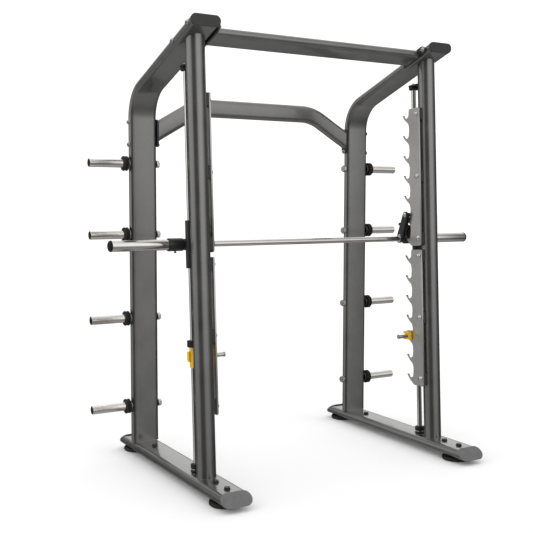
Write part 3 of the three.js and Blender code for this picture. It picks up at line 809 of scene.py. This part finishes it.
def safety_stop(tag, sign):
    place = side_frame(sign) @ LEANING
    inverse = place.inverted()
    low, high = extent(f"safety_stop_{tag}", inverse)
    pin_z = low.z + STOP_PIN_RISE
    sleeve = moved(ring(18.5, ROD_BORE, low.z, high.z, 1.5), shift(y=ROD_Y))
    web = box(-55, -14, 77.5, 114, pin_z - 11, pin_z + 25)
    pin = across(PIN_RADIUS, -74, -50, SLOT_Y, pin_z)
    lug = box(15, STOP_LUG, 93, 111, low.z + 30, low.z + 76)
    front, rear = SLOT_Y - 16, SLOT_Y + 24
    under, over = pin_z - 18, pin_z + 24
    mouth = rear - JAW_WALL
    upper_lip = [(rear, over), (rear, over - JAW_WALL), (mouth, over - JAW_WALL)]
    lower_lip = [(mouth, under + 10), (rear, under + 10), (rear, under)]
    jaw = plate([(front, under), (front, over), *upper_lip, *lower_lip], -93, -77)
    heel = box(-79, -69, front, rear, under, over)
    shapes = [sleeve, *(mirrored(shape, sign) for shape in (web, pin, jaw, heel, lug))]
    finished_join(f"safety_stop_{tag}", shapes, place, 1.6, 3)
    low, high = extent(f"stop_pad_{tag}", inverse)
    finished(f"stop_pad_{tag}", ring(28, ROD_BORE, low.z, high.z, 4), place @ shift(y=ROD_Y))
    centre = middle(f"stop_knob_{tag}", inverse)
    spans = ((5, -94.2, -76), (10, -152.5, -93.3), (12, -153, -146))
    shapes = [mirrored(across(*span, centre.y, centre.z), sign) for span in spans]
    finished_join(f"stop_knob_{tag}", shapes, place)
    bolt = merged(washer(8.5, 1.4), moved(hex_head(11, 5), shift(z=1.4)))
    bolt = mirrored(moved(bolt, shift(-81, SLOT_Y - 4.5, over)), sign)
    detail(build(f"stop_bolt_{tag}", bolt, ZINC, place, limit=30), f"stop_{tag}")
    liner = mirrored(box(-68.8, -66.4, front - 0.5, rear + 1.5, under + 1, over + 2), sign)
    detail(build(f"stop_liner_{tag}", liner, RUBBER, place, 0.6), f"stop_{tag}")


# ---------------------------------------------------------------- pegs and beams

PEG_RADIUS = 21.5
PEG_BORE = 21.6  # of the parts that sit round a peg
PEGS_PER_SIDE = 4


def pegs(tag, sign):
    weld = turned([(0, 0), (24, 0), (25, 1), (25, 4), (24, 6.5), (22.4, 9), (PEG_BORE, 10), (0, 10)])
    first_lip = [(PEG_BORE, 10), (32, 10), (36, 11), (38, 13), (37.5, 16.5), (33.5, 19), (31.5, 21)]
    second_lip = [(31.5, 23), (33.5, 25), (37.5, 27.5), (38, 31), (36, 33.8), (32, 34.8), (PEG_BORE, 34.8)]
    bumper = loft([circle(radius, z) for radius, z in first_lip + second_lip], closed=True)
    nut = moved(hex_head(33, 14), shift(z=4))
    seat = washer(19, 4)
    inwards = Matrix.Rotation(-sign * math.pi / 2, 4, "Y")
    on_pegs, plugs, insides = [], [], []
    for i in range(1, PEGS_PER_SIDE + 1):
        node = f"plate_peg_{tag}_{i}"
        low, high = extent(node)
        centre = (low + high) / 2
        start = min(abs(low.x), abs(high.x))
        place = Matrix.Diagonal((sign, 1, 1, 1)) @ shift(start, centre.y, centre.z) @ ALONG_X
        long = high.x - low.x
        wall = [(PEG_RADIUS, 0), (PEG_RADIUS, long - 2), (PEG_RADIUS - 1, long - 1)]
        finished(node, turned([(0, 0), *wall, (0, long - 1)]), place)
        plug = [(19, long - 1.5), (19, long - 0.2), (18, long)]
        plugs.append(moved(turned([(0, long - 1.5), *plug, (0, long)]), place))
        on_pegs.append(place)
        insides.append(shift(sign * (SIDE_X - TUBE_WIDE / 2), centre.y, centre.z) @ inwards)
    rows = (
        ("peg_washers", [moved(weld, at) for at in on_pegs], CAST, 40, "machined_steel"),
        ("peg_bumpers", [moved(bumper, at) for at in on_pegs], RUBBER, 40, "bumper_rubber"),
        ("peg_plugs", plugs, PLUG, 40, "end_cap"),
        ("peg_bolts", [moved(nut, at) for at in insides], NUT, 30, "machined_steel"),
        ("peg_bolt_washers", [moved(seat, at) for at in insides], NUT, 30, "machined_steel"),
    )
    for name, shapes, material, limit, slot in rows:
        detail(build(f"{name}_{tag}", merged(*shapes), material, limit=limit), "frame")


MID_BEAM_TALL = 94
MID_BEAM_THICK = 46
MID_BEAM_SLOPE = math.radians(30)
MID_BEND_X = 361
MID_BEND_RADIUS = 250
MID_FLANGE_Z = 1666
MID_FLANGE_TALL = 140
FLANGE_WIDE = 46
FLANGE_THICK = 10
RAMP_LONG = 120  # across, from a bend's corner to where a ramp's first ring is set before it is cut to length
TOP_BEAM_WIDE = 119
TOP_BEAM_THICK = 44
TOP_FLANGE_TALL = 188
TOP_FLANGE_SHIFT = -9.5
BEAM_HALF = SIDE_X - TUBE_WIDE / 2 - GAP


def mid_beam():
    z = extent("middle_cross_beam")[1].z - MID_BEAM_TALL / 2
    low_z = z - RAMP_LONG * math.tan(MID_BEAM_SLOPE)
    rising = Vector((math.cos(MID_BEAM_SLOPE), 0, math.sin(MID_BEAM_SLOPE)))
    level = Vector((1, 0, 0))
    falling = Vector((rising.x, 0, -rising.z))
    reach = BEAM_HALF - FLANGE_THICK
    stations = [(Vector((-MID_BEND_X - RAMP_LONG, 0, low_z)), rising)]
    stations += bend(Vector((-MID_BEND_X, 0, z)), rising, level, MID_BEND_RADIUS, 12)
    stations += bend(Vector((MID_BEND_X, 0, z)), level, falling, MID_BEND_RADIUS, 12)
    stations += [(Vector((MID_BEND_X + RAMP_LONG, 0, low_z)), falling)]
    section = [Vector((p.y, p.x, 0)) for p in flat_oval(MID_BEAM_TALL, MID_BEAM_THICK)]
    rings = swept(section, stations, Vector((0, 1, 0)))
    rings[0] = onto_plane(rings[0], rising, Vector((-reach - 1, 0, 0)), level)
    rings[-1] = onto_plane(rings[-1], falling, Vector((reach + 1, 0, 0)), level)
    place = shift(y=REAR_Y)
    finished("middle_cross_beam", loft(rings), place, 0.8)
    flange = [(p.y, MID_FLANGE_Z + p.x) for p in flat_oval(MID_FLANGE_TALL, FLANGE_WIDE)]
    flanges = merged(*(mirrored(plate(flange, reach, BEAM_HALF), sign) for sign in (-1, 1)))
    detail(build("middle_beam_flanges", flanges, BLACK, place, 1.4), "frame")


TOP_BEAM_Y = -178
TOP_BEAM_Z = KNEE_Z + math.tan(ARM_RISE) * (REAR_Y - TOP_BEAM_Y)
AT_TOP_BEAM = Matrix.Translation((0, TOP_BEAM_Y, TOP_BEAM_Z)) @ Matrix.Rotation(-ARM_RISE, 4, "X")


def top_beam():
    reach = BEAM_HALF - FLANGE_THICK
    section = [(p.x, p.y) for p in flat_oval(TOP_BEAM_WIDE, TOP_BEAM_THICK)]
    finished("top_cross_beam", plate(section, -reach - 1, reach + 1), AT_TOP_BEAM, 0.8)
    flange = [(p.x + TOP_FLANGE_SHIFT, p.y) for p in flat_oval(TOP_FLANGE_TALL, FLANGE_WIDE)]
    flanges = merged(*(mirrored(plate(flange, reach, BEAM_HALF), sign) for sign in (-1, 1)))
    detail(build("top_beam_flanges", flanges, BLACK, AT_TOP_BEAM, 1.4), "frame")


def beam_bolts(tag, sign):
    """Bolts of the base, of both beams' flanges, and their heads on the outer edges of the tubes."""
    head = merged(washer(15.5, 1.8), moved(hex_head(25, 9), shift(z=1.8)))
    dome = merged(washer(13, 1.8), moved(button_head(11.5, 9, 7), shift(z=1.8)))
    outwards = Matrix.Rotation(sign * math.pi / 2, 4, "Y")
    inwards = Matrix.Rotation(-sign * math.pi / 2, 4, "Y")
    outer = sign * (SIDE_X + TUBE_WIDE / 2 - 0.8)
    inner = sign * (BEAM_HALF - FLANGE_THICK)
    heads = [moved(head, shift(sign * SIDE_X, y, BASE_TOP)) for y in BASE_BOLTS_Y]
    detail(build(f"base_bolts_{tag}", merged(*heads), BLACK, limit=30), "frame")
    shapes = [moved(dome, shift(outer, REAR_Y, z) @ outwards) for z in (1604, 1716)]
    shapes += [moved(dome, shift(inner, REAR_Y, z) @ inwards) for z in (1607, 1724)]
    shapes += [moved(dome, AT_TOP_BEAM @ shift(outer, y, 0) @ outwards) for y in (-95, 73)]
    shapes += [moved(dome, AT_TOP_BEAM @ shift(inner, y, 0) @ inwards) for y in (-92, 73)]
    detail(build(f"frame_bolts_{tag}", merged(*shapes), NUT, limit=30), "frame")


# ---------------------------------------------------------------- stage

CAMERA_AT = Vector((-2.4331, -3.7831, 1.3216))
CAMERA_YAW = math.radians(-30.736)

# What glossy surfaces see, as (degrees, brightness) stops: round the horizon, and from below to above.
LEFT_BOX = [(-122, 0), (-108, 0.9), (-96, 1), (-52, 0.96), (-36, 0)]
LEFT_BOX_RISE = [(-60, 0.25), (-20, 0.37), (-6, 0.56), (8, 1), (60, 0.9)]
RIGHT_BOX = [(4, 0), (16, 0.9), (30, 1), (60, 1), (70, 0.70), (82, 0.33), (104, 0)]
RIGHT_BOX_RISE = [(-60, 0.22), (-20, 0.26), (-6, 0.54), (8, 1.22), (60, 1)]
WALL_BEHIND = [(-150, 1), (-120, 0), (120, 0), (150, 1)]
WALL_BEHIND_RISE = [(6, 0), (11, 1), (90, 1)]
CEILING_AND_FLOOR = [(-90, 0.42), (-45, 0.30), (-20, 0.035), (25, 0.035), (60, 0.8)]
CYCLORAMA = 1.17
FLOOR_HALF = 60


def ramp(tree, value, stops, low, high):
    """A value that runs through (place, brightness) stops as the input goes from low to high."""
    node = tree.nodes.new("ShaderNodeValToRGB")
    points = node.color_ramp.elements
    while len(points) < len(stops):
        points.new(0.5)
    for point, (place, bright) in zip(points, stops):
        point.position = (place - low) / (high - low)
        point.color = (bright, bright, bright, 1)
    tree.links.new(spread(tree, value, 0, 1, low, high), node.inputs["Fac"])
    return node.outputs["Color"]


def arithmetic(tree, operation, first, second=None):
    node = tree.nodes.new("ShaderNodeMath")
    node.operation = operation
    for socket, value in zip(node.inputs, (first, second)):
        if isinstance(value, (int, float)):
            socket.default_value = value
        elif value is not None:
            tree.links.new(value, socket)
    return node.outputs[0]


def banded_studio(tree, way):
    """Brightness that glossy surfaces see along a direction in the camera's heading: two tall soft boxes with
    black flags between them, a lit wall far behind and a bright ceiling."""
    part = tree.nodes.new("ShaderNodeSeparateXYZ")
    tree.links.new(way, part.inputs["Vector"])
    heading = arithmetic(tree, "DEGREES", arithmetic(tree, "ARCTAN2", part.outputs["Y"], part.outputs["X"]))
    rise = arithmetic(tree, "DEGREES", arithmetic(tree, "ARCSINE", part.outputs["Z"]))
    boxes = [
        (LEFT_BOX, LEFT_BOX_RISE, "ADD"),
        (RIGHT_BOX, RIGHT_BOX_RISE, "ADD"),
        (WALL_BEHIND, WALL_BEHIND_RISE, "MAXIMUM"),
    ]
    total = 0.0
    for round_stops, rise_stops, operation in boxes:
        across_it = ramp(tree, heading, round_stops, -180, 180)
        up_it = ramp(tree, rise, rise_stops, -90, 90)
        total = arithmetic(tree, operation, total, arithmetic(tree, "MULTIPLY", across_it, up_it))
    return arithmetic(tree, "MAXIMUM", total, ramp(tree, rise, CEILING_AND_FLOOR, -90, 90))


def surround():
    """A white cyclorama to the eye and to matt surfaces; glossy ones see the banded studio instead."""
    world = bpy.data.worlds.new("surround")
    bpy.context.scene.world = world
    world.use_nodes = True
    tree = world.node_tree
    place = tree.nodes.new("ShaderNodeTexCoord")
    turn = tree.nodes.new("ShaderNodeMapping")
    turn.inputs["Rotation"].default_value = (0, 0, math.pi / 2 - CAMERA_YAW)
    tree.links.new(place.outputs["Generated"], turn.inputs["Vector"])
    total = banded_studio(tree, turn.outputs["Vector"])
    ray = tree.nodes.new("ShaderNodeLightPath")
    pick = tree.nodes.new("ShaderNodeMix")
    pick.inputs[2].default_value = CYCLORAMA
    tree.links.new(ray.outputs["Is Glossy Ray"], pick.inputs["Factor"])
    tree.links.new(total, pick.inputs[3])
    tree.links.new(pick.outputs[0], tree.nodes["Background"].inputs["Strength"])
    tree.nodes["Background"].inputs["Color"].default_value = (1, 1, 1, 1)
    world.cycles.sampling_method = "NONE"


def floor():
    mesh = bpy.data.meshes.new("floor")
    corners = [(x * FLOOR_HALF, y * FLOOR_HALF, 0) for x, y in ((-1, -1), (1, -1), (1, 1), (-1, 1))]
    mesh.from_pydata(corners, [], [(0, 1, 2, 3)])
    ground = bpy.data.objects.new("floor", mesh)
    bpy.context.scene.collection.objects.link(ground)
    surface = shader("floor")[2]
    surface.inputs["Base Color"].default_value = (0.95, 0.95, 0.95, 1)
    surface.inputs["Roughness"].default_value = 1.0
    surface.inputs["Specular IOR Level"].default_value = 0.0
    mesh.materials.append(bpy.data.materials["floor"])
    ground.visible_glossy = False


def camera():
    data = bpy.data.cameras.new("camera")
    data.lens = 59.32
    data.sensor_width = 36
    eye = bpy.data.objects.new("camera", data)
    bpy.context.scene.collection.objects.link(eye)
    eye.location = CAMERA_AT
    eye.rotation_euler = (math.radians(90 - 4.287), math.radians(-0.09), CAMERA_YAW)
    bpy.context.scene.camera = eye
    bpy.context.scene.view_settings.view_transform = "Standard"


for tag, sign in SIDES:
    base(tag, sign)
    rear_upright(tag, sign)
    front_upright(tag, sign)
    painted_foot_highlights(tag, sign)
    racks(tag, sign)
    rod_parts(tag, sign)
    carriage(tag, sign)
    hook_lever(tag, sign)
    safety_stop(tag, sign)
    pegs(tag, sign)
    beam_bolts(tag, sign)
bar_parts()
mid_beam()
top_beam()
surround()
floor()
camera()
